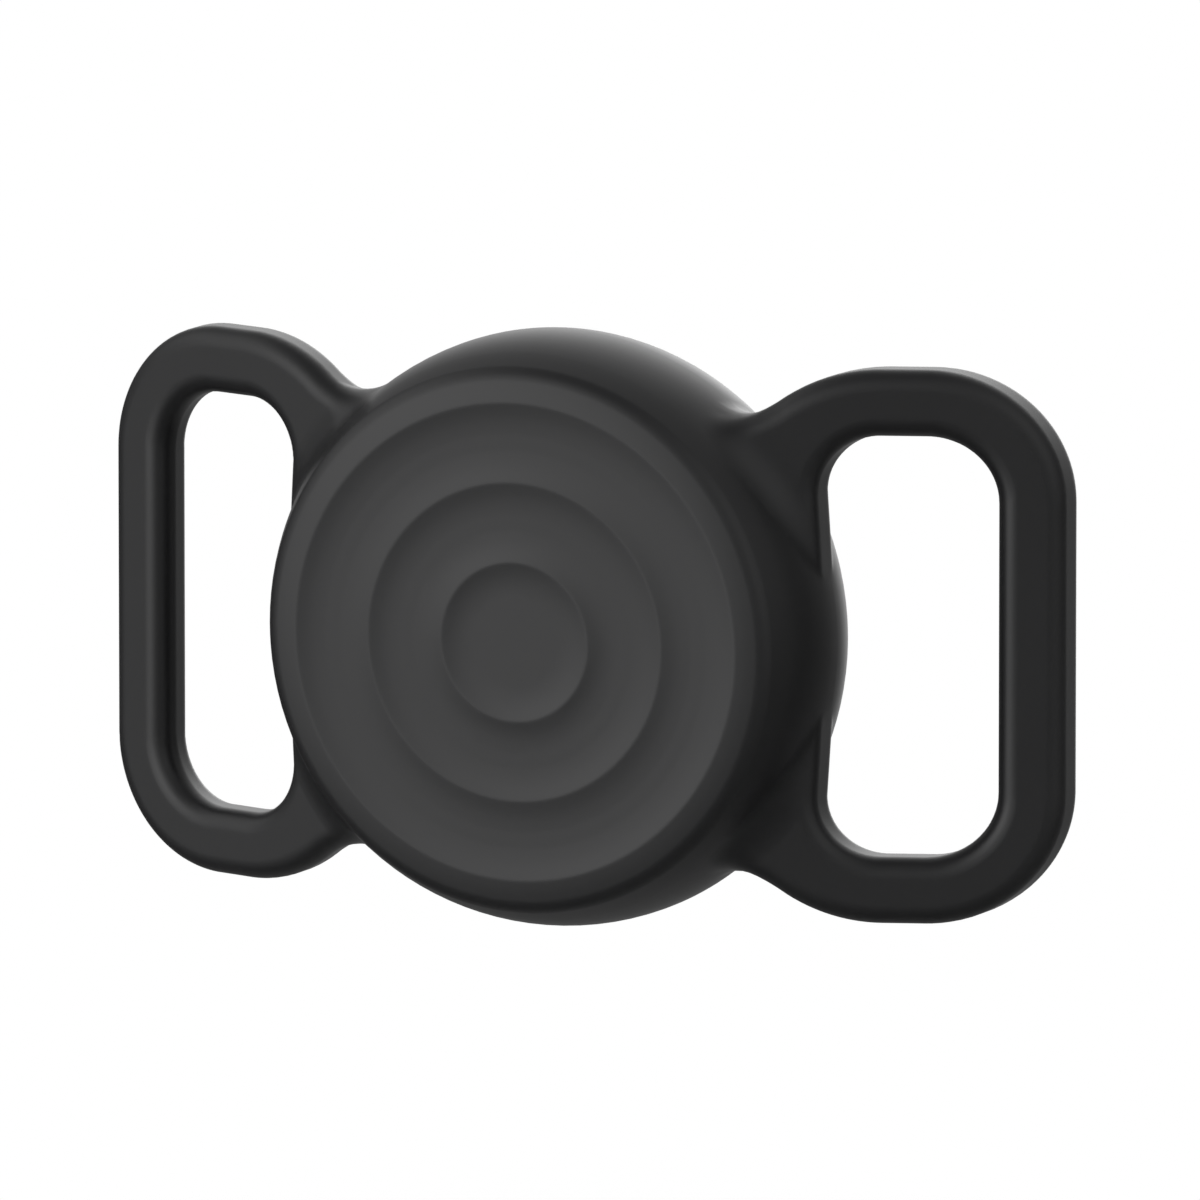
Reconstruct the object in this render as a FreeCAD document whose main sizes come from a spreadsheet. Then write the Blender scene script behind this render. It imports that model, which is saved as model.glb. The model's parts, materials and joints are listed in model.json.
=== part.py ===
import FreeCAD, Part

import math
import os
import re

import Sketcher

# A soft collar holder for a coin-shaped tracker tag, with the tag that it carries.
# Frame: the front faces -Y, +X is to the right, +Z is up. The origin is on the tag's axis, in the
# plane of the holder's back rim. Depths run backwards from the plane of the three front crests, or
# from the front of the tag where a name starts with the piece of the tag that it belongs to.

SIZES = {
    # The coin cell, which sets the size of the tag
    "cell_radius": 10.0,
    "cell_height": 3.2,
    "cell_sheet": 0.25,
    "cell_crimp": 0.3,
    "cell_flange": 0.5,
    "cell_cap_step": 0.35,
    "gasket_wall": 0.45,
    "anode_height": 0.65,
    "anode_play": 0.25,
    "separator_height": 0.1,
    "pellet_play": 0.1,
    # The battery tray and its contacts
    "tray_floor": 0.6,
    "tray_wall": 0.8,
    "tray_wall_height": 2.4,
    "tray_rim": 0.9,
    "tray_rim_gap": 1.3,
    "tray_cell_gap": 0.25,
    "ledge_reach": 0.75,
    "ledge_height": 0.5,
    "ledge_degrees": 16.0,
    "contact_leaf": 0.15,
    "contact_lift": 0.3,
    "contact_radius": 2.4,
    "contact_dimple": 0.9,
    "leaf_play": 0.05,
    "leaf_height": 1.4,
    "leaf_rise": 0.8,
    "leaf_degrees": 24.0,
    # The twist-off battery cover
    "cover_sheet": 0.4,
    "cover_gap": 0.1,
    "cover_edge_gap": 0.25,
    "cover_round": 0.3,
    "ring_wall": 0.6,
    "twist_gap": 0.2,
    "bayonet_gap": 0.15,
    "tab_gap": 0.25,
    "tab_height": 0.55,
    "tab_degrees": 14.0,
    # The tag's case
    "shell_wall": 1.0,
    "shell_round": 2.4,
    "shell_inner_round": 0.6,
    "case_gap": 0.15,
    "bezel_drop": 1.0,
    "bezel_height": 1.1,
    "bezel_round": 0.7,
    # The bay in front of the tray: sounder, board and antenna
    "bay_height": 2.4,
    "coil_radius": 4.6,
    "coil_wall": 0.7,
    "coil_height": 1.4,
    "sounder_gap": 0.4,
    "magnet_height": 1.6,
    "yoke_wall": 0.4,
    "yoke_floor": 0.3,
    "yoke_height": 1.5,
    "board_hole_gap": 0.2,
    "board_height": 0.6,
    "board_lift": 0.5,
    "board_rib": 0.8,
    "antenna_width": 1.1,
    "antenna_gap": 0.2,
    "foil_height": 0.1,
    "foil_inset": 0.1,
    # What stands on the board: width along X, height along Z, thickness along Y
    "shield_width": 6.5,
    "shield_height": 4.6,
    "shield_thickness": 0.8,
    "radio_width": 4.2,
    "radio_height": 4.2,
    "radio_thickness": 0.7,
    "memory_width": 3.0,
    "memory_height": 2.4,
    "memory_thickness": 0.6,
    "sensor_width": 2.0,
    "sensor_height": 2.0,
    "sensor_thickness": 0.7,
    "crystal_width": 2.0,
    "crystal_height": 1.6,
    "crystal_thickness": 0.5,
    "inductor_width": 2.5,
    "inductor_height": 2.0,
    "inductor_thickness": 0.8,
    "capacitor_width": 1.0,
    "capacitor_height": 1.6,
    "capacitor_thickness": 0.7,
    # The sleeve's round body, its pocket and the lip that keeps the tag in
    "pocket_gap": 0.1,
    "front_wall": 2.0,
    "side_wall": 2.7,
    "widest_depth": 7.38,
    "front_bulge": 14.1,
    "back_bulge": 7.5,
    "rim_round": 1.2,
    "back_round": 1.0,
    "pocket_corner": 2.2,
    "lip_depth": 2.1,
    "lip_clear": 0.6,
    "lip_round": 0.6,
    # The hollow rings of the front face and the falling land round them
    "rim_land": 1.895,
    "rim_drop": 0.39,
    "land_round": 12.0,
    "hollow_run": 2.0,
    "hollow_round": 11.5,
    # The two strap loops, swept back from the body
    "strap_width": 25.0,
    "strap_play": 1.4,
    "slot_width": 10.42,
    "slot_overlap": 0.85,
    "slot_corner": 4.15,
    "slot_inner_corner": 3.6,
    "slot_waist": 3.5,
    "waist_overlap": 0.5,
    "loop_bar": 4.17,
    "loop_depth": 3.38,
    "loop_lead": 1.75,
    "loop_sweep_degrees": 19.3,
    "shoulder_inset": 3.7,
    "shoulder_round": 10.2,
    "shoulder_turn_degrees": 36.0,
    "web_round": 11.0,
    "edge_round": 1.2,
    "back_edge_round": 0.8,
    "root_round": 3.2,
    # One overrun for all cuts
    "overrun": 3.0,
}

CREST_COUNT = 3
TAB_COUNT = 3
LEAF_COUNT = 2

# Worked out in the sheet, each from the sizes and the lines above it
DERIVED = {
    # Radii, from the cell outwards
    "cell_inside": "cell_radius - cell_sheet",
    "gasket_inside": "cell_inside - gasket_wall",
    "cap_radius": "gasket_inside - cell_flange",
    "cap_inside": "cap_radius - cell_sheet",
    "tray_inside": "cell_radius + tray_cell_gap",
    "tray_outside": "tray_inside + tray_wall",
    "ring_inside": "tray_outside + ledge_reach + twist_gap",
    "cover_radius": "ring_inside + ring_wall",
    "rim_inside": "cover_radius + tray_rim_gap",
    "innards_radius": "rim_inside + tray_rim",
    "shell_inside": "innards_radius + case_gap",
    "tag_radius": "shell_inside + shell_wall",
    "antenna_inside": "innards_radius - antenna_width",
    "foil_inside": "antenna_inside + foil_inset",
    "foil_radius": "innards_radius - foil_inset",
    "board_radius": "antenna_inside - antenna_gap",
    "coil_inside": "coil_radius - coil_wall",
    "magnet_radius": "coil_inside - sounder_gap",
    "yoke_inner_radius": "coil_radius + sounder_gap",
    "yoke_radius": "yoke_inner_radius + yoke_wall",
    "board_hole": "yoke_radius + board_hole_gap",
    "board_middle": "(board_hole + board_radius) / 2",
    "pocket_radius": "tag_radius + pocket_gap",
    "body_radius": "pocket_radius + side_wall",
    "lip_radius": "cover_radius + lip_clear",
    # Depths in the tag, from its front backwards
    "tray_front": "shell_wall + bay_height",
    "tray_back": "tray_front + tray_floor",
    "board_back": "tray_front - board_lift",
    "board_front": "board_back - board_height",
    "carrier_front": "shell_wall + shell_inner_round",
    "foil_front": "tray_front - foil_height",
    "yoke_front": "tray_front - yoke_height",
    "yoke_inside": "tray_front - yoke_floor",
    "wall_back": "tray_back + tray_wall_height",
    "ledge_front": "wall_back - ledge_height",
    "tab_back": "ledge_front - bayonet_gap",
    "ring_front": "tab_back - tab_height",
    "cell_front": "tray_back + contact_lift",
    "cell_back": "cell_front + cell_height",
    "can_front": "cell_front + cell_crimp",
    "can_floor": "cell_back - cell_sheet",
    "anode_front": "cell_front + cell_sheet",
    "anode_back": "anode_front + anode_height",
    "flange_front": "anode_front + cell_cap_step",
    "pellet_front": "anode_back + separator_height",
    "cover_front": "cell_back + cover_gap",
    "cover_back": "cover_front + cover_sheet",
    "shell_back": "cover_front - bezel_drop",
    "bezel_back": "shell_back + bezel_height",
    # The sleeve, in depths from the crest plane
    "tag_front": "front_wall + pocket_gap",
    "lip_front": "tag_front + bezel_back + pocket_gap",
    "body_depth": "lip_front + lip_depth",
    "rim_radius": "body_radius - front_bulge + sqrt(front_bulge^2 - (widest_depth - rim_drop)^2)",
    "back_radius": "body_radius - back_bulge + sqrt(back_bulge^2 - (body_depth - widest_depth)^2)",
    "crest_pitch": f"(rim_radius - rim_land) / {CREST_COUNT}",
    "hollow_depth": "hollow_round - sqrt(hollow_round^2 - hollow_run^2)",
    "slot_start": "body_radius - slot_overlap",
    "slot_end": "slot_start + slot_width",
    "slot_top": "(strap_width + strap_play) / 2",
    "slot_inner_middle": "slot_start + slot_inner_corner",
    "slot_inner_top": "slot_top - slot_inner_corner",
    "waist_start": "body_radius - waist_overlap",
    "slant_run": "slot_inner_middle - waist_start",
    "slant_rise": "slot_inner_top - slot_waist",
    "slot_slant": "asin(slot_inner_corner / sqrt(slant_run^2 + slant_rise^2)) - atan(slant_run / slant_rise)",
    "loop_reach": "slot_end + loop_bar",
    "loop_top": "slot_top + loop_bar",
    "loop_corner": "slot_corner + loop_bar",
    "loop_setback": "widest_depth - loop_lead + (loop_reach - body_radius) * tan(loop_sweep_degrees)",
    "shoulder_start": "slot_start + shoulder_inset",
    "shoulder_end": "shoulder_start - shoulder_round * sin(shoulder_turn_degrees)",
    "shoulder_foot": "loop_top - shoulder_round * (1 - cos(shoulder_turn_degrees))",
    "web_end": "shoulder_end - web_round * sin(shoulder_turn_degrees)",
    "web_foot": "shoulder_foot - web_round * (1 - cos(shoulder_turn_degrees))",
    "plate_bend": "web_end / sin(loop_sweep_degrees)",
}

# Where each chip's middle stands, in shares of the board's middle radius
CHIP_PLACE_SHARES = {
    "radio_shield": ("shield", 0.0, 1.0),
    "radio_chip": ("radio", 0.98, 0.0),
    "memory_chip": ("memory", -0.98, 0.0),
    "motion_sensor": ("sensor", -0.7, -0.7),
    "clock_crystal": ("crystal", 0.7, -0.7),
    "power_inductor": ("inductor", 0.72, 0.7),
    "capacitor_1": ("capacitor", -0.15, -1.0),
    "capacitor_2": ("capacitor", 0.0, -1.0),
    "capacitor_3": ("capacitor", 0.15, -1.0),
}

# An edge is tested at these shares of its length, to within a share of the overrun
EDGE_POINT_SHARES = (0.25, 0.5, 0.75)
NEAR_SHARE = 0.001

doc = FreeCAD.newDocument("tracker_tag_holder")
sheet = doc.addObject("Spreadsheet::Sheet", "sizes")
cells = {**{name: str(size) for name, size in SIZES.items()},
         **{name: f"={formula}" for name, formula in DERIVED.items()}}
for row, (name, content) in enumerate(cells.items(), start=1):
    sheet.set(f"A{row}", name)
    sheet.set(f"B{row}", content)
    sheet.setAlias(f"B{row}", name)
doc.recompute()


# Expressions and sketches

def bound(expression):
    """The expression with each size's name led by the sheet's name."""
    return re.sub(r"[a-z]\w*", lambda word: f"sizes.{word[0]}" if word[0] in cells else word[0], expression)


def value(expression):
    return float(sheet.evalExpression(bound(expression)))


def new_body(label):
    body = doc.addObject("PartDesign::Body", label)
    body.Label = label
    return body


def origin_feature(body, role):
    return next(feature for feature in body.Origin.OriginFeatures if feature.Role == role)


def arc_between(start, end, radius, turn):
    """The arc from start to end; turn is 1 for counter-clockwise and -1 for clockwise."""
    chord = end - start
    side = FreeCAD.Vector(-chord.y, chord.x, 0).normalize() * turn
    centre = start + chord / 2 + side * math.sqrt(radius ** 2 - chord.Length ** 2 / 4)
    first, last = (start, end) if turn > 0 else (end, start)
    angles = [math.atan2(point.y - centre.y, point.x - centre.x) for point in (first, last)]
    return Part.ArcOfCircle(Part.Circle(centre, FreeCAD.Vector(0, 0, 1), radius), *angles)


def pin(sketch, kind, geometry, point, expression):
    """Hold one coordinate of a point to an expression of the sheet."""
    constraint = Sketcher.Constraint(kind, -1, 1, geometry, point, value(expression))
    index = sketch.addConstraint(constraint)
    sketch.setExpression(f"Constraints[{index}]", bound(expression))


def draw(sketch, path):
    """Close a path of (x, y) corners; (x, y, radius, turn) is reached by an arc instead of a line."""
    corners = [FreeCAD.Vector(value(step[0]), value(step[1]), 0) for step in path]
    ends = []
    for number, step in enumerate(path):
        start, end = corners[number - 1], corners[number]
        if len(step) == 2:
            ends.append((sketch.addGeometry(Part.LineSegment(start, end)), 1, 2))
            continue
        radius, turn = step[2:]
        geometry = sketch.addGeometry(arc_between(start, end, value(radius), turn))
        index = sketch.addConstraint(Sketcher.Constraint("Radius", geometry, value(radius)))
        sketch.setExpression(f"Constraints[{index}]", bound(radius))
        ends.append((geometry, 1, 2) if turn > 0 else (geometry, 2, 1))
    for number, (geometry, first, last) in enumerate(ends):
        before = ends[number - 1]
        sketch.addConstraint(Sketcher.Constraint("Coincident", before[0], before[2], geometry, first))
        pin(sketch, "DistanceX", geometry, last, path[number][0])
        pin(sketch, "DistanceY", geometry, last, path[number][1])


def new_sketch(body, plane, *paths):
    sketch = body.newObject("Sketcher::SketchObject", f"{body.Label}_sketch")
    sketch.AttachmentSupport = [(origin_feature(body, plane), "")]
    sketch.MapMode = "FlatFace"
    for path in paths:
        draw(sketch, path)
    return sketch


def block(left, bottom, right, top):
    """The four corners of a rectangle."""
    return [(left, bottom), (right, bottom), (right, top), (left, top)]


def behind(depth):
    """The Y of a depth behind the crest plane."""
    return f"{depth} - body_depth"


def in_tag(depth):
    """The Y of a depth behind the tag's front."""
    return behind(f"tag_front + {depth}")


# Features

def round_edges(body, name, radius, chosen):
    """Fillet the edges of the body's tip whose sample points all pass the test."""
    tip = body.Tip
    picked = []
    for number, edge in enumerate(tip.Shape.Edges, start=1):
        first, last = edge.ParameterRange
        points = [edge.valueAt(first + (last - first) * share) for share in EDGE_POINT_SHARES]
        if all(chosen(point) for point in points):
            picked.append(f"Edge{number}")
    fillet = body.newObject("PartDesign::Fillet", f"{body.Label}_{name}")
    fillet.Base = (tip, picked)
    fillet.setExpression("Radius", bound(radius))
    doc.recompute()


def round_circle(body, name, edge_round, radius, place):
    """Fillet the circle of a radius round the Y axis at a Y."""
    wanted_radius, wanted_y = value(radius), value(place)
    near = value("overrun") * NEAR_SHARE

    def on_circle(point):
        return abs(math.hypot(point.x, point.z) - wanted_radius) < near and abs(point.y - wanted_y) < near

    round_edges(body, name, edge_round, on_circle)


def turn_profile(body, kind, path, degrees="360"):
    """Revolve or groove a path of (radius, Y) corners round the Y axis, half to each side of the XY plane."""
    sketch = new_sketch(body, "XY_Plane", path)
    feature = body.newObject(f"PartDesign::{kind}", f"{body.Label}_{kind.lower()}")
    feature.Profile = sketch
    feature.ReferenceAxis = (sketch, ["V_Axis"])
    feature.Midplane = True
    feature.setExpression("Angle", bound(degrees))
    doc.recompute()
    return feature


def repeat_round(body, feature, count):
    pattern = body.newObject("PartDesign::PolarPattern", f"{body.Label}_pattern")
    pattern.Originals = [feature]
    pattern.Axis = (origin_feature(body, "Y_Axis"), [""])
    pattern.Angle = 360
    pattern.Occurrences = count
    body.Tip = pattern
    doc.recompute()


def cut_through(body, *paths):
    """Cut paths of (x, z) corners through the whole body along Y."""
    volume = body.Tip.Shape.Volume
    pocket = body.newObject("PartDesign::Pocket", f"{body.Label}_pocket")
    pocket.Profile = new_sketch(body, "XZ_Plane", *paths)
    pocket.Type = "ThroughAll"
    pocket.SideType = "Symmetric"
    doc.recompute()
    if not pocket.Shape.Volume < volume:
        raise RuntimeError(f"{body.Label}: a cut took nothing away")


def turned(label, path):
    body = new_body(label)
    turn_profile(body, "Revolution", path)
    return body


def ring(label, inner, outer, front, back):
    """A plain turned ring, or a disc where inner is 0, between two depths of the tag."""
    return turned(label, block(inner, in_tag(front), outer, in_tag(back)))


# The sleeve: one soft moulding

def front_depth(x):
    """Depth of the swept front face of the loops at a distance from the middle."""
    return f"(loop_setback - (loop_reach - {x}) * tan(loop_sweep_degrees))"


def turned_about(path):
    """The path of (x, z) corners after half a turn about the Y axis."""
    return [(f"-({step[0]})", f"-({step[1]})", *step[2:]) for step in path]


def loop_outline():
    """The outline of both loops, joined through the middle, seen from the front."""
    right = [
        ("web_end", "-web_foot"),
        ("shoulder_end", "-shoulder_foot", "web_round", -1),
        ("shoulder_start", "-loop_top", "shoulder_round", 1),
        ("loop_reach - loop_corner", "-loop_top"),
        ("loop_reach", "loop_corner - loop_top", "loop_corner", 1),
        ("loop_reach", "loop_top - loop_corner"),
        ("loop_reach - loop_corner", "loop_top", "loop_corner", 1),
        ("shoulder_start", "loop_top"),
        ("shoulder_end", "shoulder_foot", "shoulder_round", 1),
        ("web_end", "web_foot", "web_round", -1),
    ]
    return right + turned_about(right)


def slot_outline():
    """The right strap slot: its inner side slants outwards until it meets the bulging body."""
    slant_start = "slot_inner_middle - slot_inner_corner * cos(slot_slant)"
    slant_top = "slot_inner_top - slot_inner_corner * sin(slot_slant)"
    return [
        ("slot_inner_middle", "-slot_top", "slot_inner_corner", 1),
        ("slot_end - slot_corner", "-slot_top"),
        ("slot_end", "slot_corner - slot_top", "slot_corner", 1),
        ("slot_end", "slot_top - slot_corner"),
        ("slot_end - slot_corner", "slot_top", "slot_corner", 1),
        ("slot_inner_middle", "slot_top"),
        (slant_start, slant_top, "slot_inner_corner", 1),
        ("waist_start", "slot_waist"),
        ("waist_start", "-slot_waist", "slot_waist / sin(slot_slant)", -1),
        (slant_start, f"-({slant_top})"),
    ]


def body_profile():
    """The round body's half section: hollow rings in front, bulging side, flat back."""
    crest_y, hollow_y = behind("0"), behind("hollow_depth")
    path = [("0", "0"), ("0", hollow_y), ("crest_pitch - hollow_run", hollow_y)]
    for number in range(1, CREST_COUNT + 1):
        path.append((f"{number} * crest_pitch", crest_y, "hollow_round", -1))
        if number < CREST_COUNT:
            path.append((f"{number} * crest_pitch + hollow_run", hollow_y, "hollow_round", -1))
            path.append((f"{number + 1} * crest_pitch - hollow_run", hollow_y))
    path.append(("rim_radius", behind("rim_drop"), "land_round", 1))
    path.append(("body_radius", behind("widest_depth"), "front_bulge", 1))
    path.append(("back_radius", "0", "back_bulge", 1))
    return path


def add_loop_plate(body):
    """The swept plate of both loops, bent round through the middle, cut to its outline and slots."""
    bend, tip = "web_end", "(loop_reach + overrun)"
    bend_y, tip_y = behind(front_depth(bend)), behind(front_depth(tip))
    pad = body.newObject("PartDesign::Pad", "loop_plate")
    pad.Profile = new_sketch(body, "XY_Plane", [
        (bend, bend_y, "plate_bend", 1),
        (tip, tip_y),
        (tip, f"{tip_y} + loop_depth"),
        (bend, f"{bend_y} + loop_depth"),
        (f"-{bend}", f"{bend_y} + loop_depth", "plate_bend", -1),
        (f"-{tip}", f"{tip_y} + loop_depth"),
        (f"-{tip}", tip_y),
        (f"-{bend}", bend_y),
    ])
    pad.SideType = "Symmetric"
    pad.setExpression("Length", bound("2 * (loop_top + overrun)"))
    doc.recompute()
    across, up = "loop_reach + 2 * overrun", "loop_top + 2 * overrun"
    cut_through(body, block(f"-({across})", f"-({up})", across, up), loop_outline())
    cut_through(body, slot_outline(), turned_about(slot_outline()))


def holder_sleeve():
    body = new_body("holder_sleeve")
    add_loop_plate(body)
    size = {name: value(name) for name in cells}
    near = size["overrun"] * NEAR_SHARE
    sweep = math.tan(math.radians(size["loop_sweep_degrees"]))

    def behind_plate_front(point):
        out = max(abs(point.x), size["web_end"])
        inside = min(abs(point.x), size["web_end"])
        rise = math.sqrt(size["plate_bend"] ** 2 - inside ** 2) - size["web_end"] / sweep
        return point.y + size["body_depth"] - size["loop_setback"] + (size["loop_reach"] - out) * sweep + rise

    def on_plate_edge(point, depth):
        on_bend = abs(abs(point.x) - size["web_end"]) < near
        return abs(behind_plate_front(point) - depth) < near and not on_bend

    round_edges(body, "edges", "edge_round", lambda point: on_plate_edge(point, 0))
    round_edges(body, "back_edges", "back_edge_round", lambda point: on_plate_edge(point, size["loop_depth"]))
    turn_profile(body, "Revolution", body_profile())

    def on_root(point):
        from_widest = point.y + size["body_depth"] - size["widest_depth"]
        bulge = size["front_bulge"] if from_widest < 0 else size["back_bulge"]
        radius = size["body_radius"] - bulge + math.sqrt(max(bulge ** 2 - from_widest ** 2, 0))
        on_body = abs(math.hypot(point.x, point.z) - radius) < near
        return on_body and -near < behind_plate_front(point) < size["loop_depth"] + near

    round_edges(body, "roots", "root_round", on_root)
    turn_profile(body, "Groove", [
        ("0", behind("front_wall")),
        ("pocket_radius", behind("front_wall")),
        ("pocket_radius", behind("lip_front")),
        ("lip_radius", behind("lip_front")),
        ("lip_radius", "overrun"),
        ("0", "overrun"),
    ])
    round_circle(body, "rim", "rim_round", "rim_radius", behind("rim_drop"))
    round_circle(body, "back_rim", "back_round", "back_radius", "0")
    round_circle(body, "lip", "lip_round", "lip_radius", "0")
    round_circle(body, "pocket", "pocket_corner", "pocket_radius", behind("front_wall"))
    return body


# The tag's case

def tag_shell():
    body = turned("tag_shell", [
        ("0", in_tag("0")),
        ("tag_radius", in_tag("0")),
        ("tag_radius", in_tag("shell_back")),
        ("shell_inside", in_tag("shell_back")),
        ("shell_inside", in_tag("shell_wall")),
        ("0", in_tag("shell_wall")),
    ])
    round_circle(body, "front", "shell_round", "tag_radius", in_tag("0"))
    round_circle(body, "inside", "shell_inner_round", "shell_inside", in_tag("shell_wall"))
    return body


def rear_bezel():
    body = ring("rear_bezel", "cover_radius + cover_edge_gap", "tag_radius", "shell_back", "bezel_back")
    round_circle(body, "edge", "bezel_round", "tag_radius", in_tag("bezel_back"))
    return body


# The sounder and the board

def speaker_yoke():
    return turned("speaker_yoke", [
        ("0", in_tag("tray_front")),
        ("0", in_tag("yoke_inside")),
        ("yoke_inner_radius", in_tag("yoke_inside")),
        ("yoke_inner_radius", in_tag("yoke_front")),
        ("yoke_radius", in_tag("yoke_front")),
        ("yoke_radius", in_tag("tray_front")),
    ])


def board_chip(label, kind, x_share, z_share):
    """A block on the front of the board."""
    body = new_body(label)
    x, z = f"{x_share} * board_middle", f"{z_share} * board_middle"
    sketch = new_sketch(body, "XZ_Plane", block(f"{x} - {kind}_width / 2", f"{z} - {kind}_height / 2",
                                                f"{x} + {kind}_width / 2", f"{z} + {kind}_height / 2"))
    sketch.setExpression("AttachmentOffset.Base.z", bound(f"-({in_tag('board_front')})"))
    pad = body.newObject("PartDesign::Pad", f"{label}_pad")
    pad.Profile = sketch
    pad.setExpression("Length", bound(f"{kind}_thickness"))
    doc.recompute()
    return body


# The tray, the contacts and the cell

def battery_tray():
    body = turned("battery_tray", [
        ("0", in_tag("tray_front")),
        ("board_radius - board_rib", in_tag("tray_front")),
        ("board_radius - board_rib", in_tag("board_back")),
        ("board_radius", in_tag("board_back")),
        ("board_radius", in_tag("tray_front")),
        ("innards_radius", in_tag("tray_front")),
        ("innards_radius", in_tag("shell_back")),
        ("rim_inside", in_tag("shell_back")),
        ("rim_inside", in_tag("tray_back")),
        ("tray_outside", in_tag("tray_back")),
        ("tray_outside", in_tag("wall_back")),
        ("tray_inside", in_tag("wall_back")),
        ("tray_inside", in_tag("tray_back")),
        ("0", in_tag("tray_back")),
    ])
    corners = block("tray_outside - tray_wall / 2", in_tag("ledge_front"),
                    "tray_outside + ledge_reach", in_tag("wall_back"))
    ledge = turn_profile(body, "Revolution", corners, "ledge_degrees")
    repeat_round(body, ledge, TAB_COUNT)
    return body


def negative_contact():
    return turned("negative_contact", [
        ("0", in_tag("tray_back")),
        ("contact_radius", in_tag("tray_back")),
        ("contact_radius", in_tag("tray_back + contact_leaf")),
        ("contact_dimple", in_tag("tray_back + contact_leaf")),
        ("contact_dimple", in_tag("cell_front")),
        ("0", in_tag("cell_front")),
    ])


def positive_contact(number):
    """A spring leaf at the cell's side, turned to its own place round it."""
    body = new_body(f"positive_contact_{number}")
    leaf_front, leaf_inside = "tray_back + leaf_rise", "cell_radius + leaf_play"
    corners = block(leaf_inside, in_tag(leaf_front),
                    f"{leaf_inside} + contact_leaf", in_tag(f"{leaf_front} + leaf_height"))
    turn_profile(body, "Revolution", corners, "leaf_degrees")
    body.Placement.Rotation = FreeCAD.Rotation(FreeCAD.Vector(0, 1, 0), number * 360 / LEAF_COUNT)
    return body


def cell_can():
    return turned("cell_can", [
        ("0", in_tag("can_floor")),
        ("cell_inside", in_tag("can_floor")),
        ("cell_inside", in_tag("can_front")),
        ("cell_radius", in_tag("can_front")),
        ("cell_radius", in_tag("cell_back")),
        ("0", in_tag("cell_back")),
    ])


def cell_cap():
    return turned("cell_cap", [
        ("0", in_tag("cell_front")),
        ("cap_radius", in_tag("cell_front")),
        ("cap_radius", in_tag("flange_front")),
        ("gasket_inside", in_tag("flange_front")),
        ("gasket_inside", in_tag("flange_front + cell_sheet")),
        ("cap_inside", in_tag("flange_front + cell_sheet")),
        ("cap_inside", in_tag("anode_front")),
        ("0", in_tag("anode_front")),
    ])


# The battery cover

def battery_cover():
    body = ring("battery_cover", "0", "cover_radius", "cover_front", "cover_back")
    round_circle(body, "edge", "cover_round", "cover_radius", in_tag("cover_back"))
    return body


def cover_ring():
    body = ring("cover_ring", "ring_inside", "cover_radius", "ring_front", "cover_front")
    corners = block("tray_outside + tab_gap", in_tag("ring_front"),
                    "ring_inside + ring_wall / 2", in_tag("tab_back"))
    tab = turn_profile(body, "Revolution", corners, "tab_degrees")
    repeat_round(body, tab, TAB_COUNT)
    return body


bodies = [
    holder_sleeve(),
    tag_shell(),
    rear_bezel(),
    ring("speaker_coil", "coil_inside", "coil_radius", "shell_wall", "shell_wall + coil_height"),
    ring("speaker_magnet", "0", "magnet_radius", "yoke_inside - magnet_height", "yoke_inside"),
    speaker_yoke(),
    ring("circuit_board", "board_hole", "board_radius", "board_front", "board_back"),
    *(board_chip(label, *place) for label, place in CHIP_PLACE_SHARES.items()),
    ring("antenna_carrier", "antenna_inside", "innards_radius", "carrier_front", "foil_front"),
    ring("antenna_foil", "foil_inside", "foil_radius", "foil_front", "tray_front"),
    battery_tray(),
    negative_contact(),
    *(positive_contact(number) for number in range(1, LEAF_COUNT + 1)),
    cell_can(),
    ring("cell_gasket", "gasket_inside", "cell_inside", "can_front", "can_floor"),
    cell_cap(),
    ring("cell_anode", "0", "cap_inside - anode_play", "anode_front", "anode_back"),
    ring("cell_separator", "0", "gasket_inside - pellet_play", "anode_back", "pellet_front"),
    ring("cell_cathode", "0", "gasket_inside - pellet_play", "pellet_front", "can_floor"),
    battery_cover(),
    cover_ring(),
]
doc.recompute()

for thing in doc.Objects:
    if "Invalid" in thing.State or "Error" in thing.State:
        raise RuntimeError(f"{thing.Label}: {thing.State}")
for body in bodies:
    shape = body.Shape
    if shape.isNull() or not shape.isValid() or len(shape.Solids) != 1:
        raise RuntimeError(f"{body.Label} is not one sound solid")
os.makedirs("parts", exist_ok=True)
for body in bodies:
    body.Shape.exportStep(f"parts/{body.Label}.step")
    box = body.Shape.optimalBoundingBox()
    print(f"{body.Label}: {box.XLength:.2f} x {box.YLength:.2f} x {box.ZLength:.2f} mm")
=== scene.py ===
# %% [markdown]
# A collar holder for a coin-shaped tracker tag
#
# The real object is one soft moulding: a round bowl with three ridges on its front, and a strap
# loop swept back on each side. A small tag sits in the bowl and shows its steel battery cover at
# the back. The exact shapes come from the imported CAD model, so this lesson is about the finishes,
# the light and the camera. Everything is in metres, in the CAD frame: front at -Y, up at +Z.

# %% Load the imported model
import json
import math

import bpy
from mathutils import Matrix, Vector

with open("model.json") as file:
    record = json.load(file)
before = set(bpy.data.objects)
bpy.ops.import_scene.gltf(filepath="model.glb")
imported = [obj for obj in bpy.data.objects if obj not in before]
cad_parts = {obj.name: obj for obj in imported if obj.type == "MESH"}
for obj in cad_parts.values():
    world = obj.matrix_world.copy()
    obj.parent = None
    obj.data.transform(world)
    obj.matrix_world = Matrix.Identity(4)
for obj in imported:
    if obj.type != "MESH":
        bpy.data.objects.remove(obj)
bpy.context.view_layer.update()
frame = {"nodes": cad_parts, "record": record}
MM = 0.001
scene = bpy.context.scene
scene.view_settings.view_transform = "Standard"

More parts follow.
